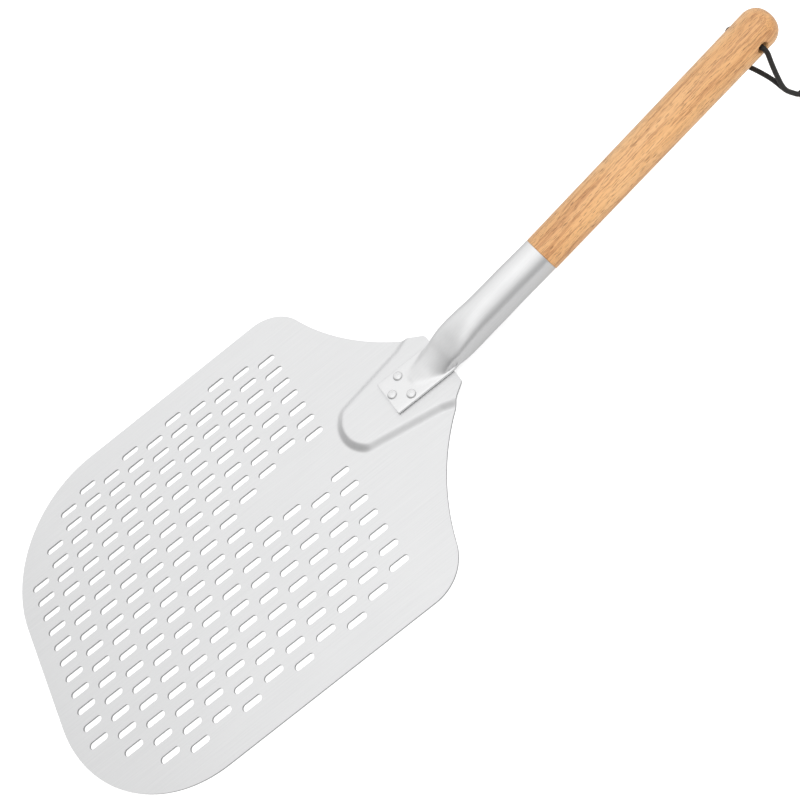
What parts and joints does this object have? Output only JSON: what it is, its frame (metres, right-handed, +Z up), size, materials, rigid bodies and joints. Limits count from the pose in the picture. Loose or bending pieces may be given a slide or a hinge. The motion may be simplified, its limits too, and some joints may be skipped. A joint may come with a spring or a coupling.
{
  "type": "pizza peel",
  "caption": "Slotted aluminium pizza peel with a raised riveted neck, a formed tube socket and a turned wooden grip with a knotted hanging cord.",
  "frame": {"origin": "on the blade's flat underside, at the middle of its slot grid", "axes": "+X from the blade towards the end of the handle, +Z up from the surface the blade lies on"},
  "size_m": [0.7356, 0.304, 0.0929],
  "materials": {
    "blade": "satin rolled aluminium sheet",
    "tube": "polished drawn aluminium tube",
    "rivet": "pressed domed heads",
    "handle": "turned and lacquered light hardwood",
    "nail": "plain steel",
    "cord": "braided black cord"
  },
  "bodies": {
    "root": {"blade": "blade", "tube_socket": "tube", "rivet_front": "rivet", "rivet_left": "rivet", "rivet_right": "rivet", "handle": "handle", "handle_nail": "nail", "cord_near_run": "cord", "cord_far_run": "cord", "cord_knot": "cord"}
  },
  "joints": []
}
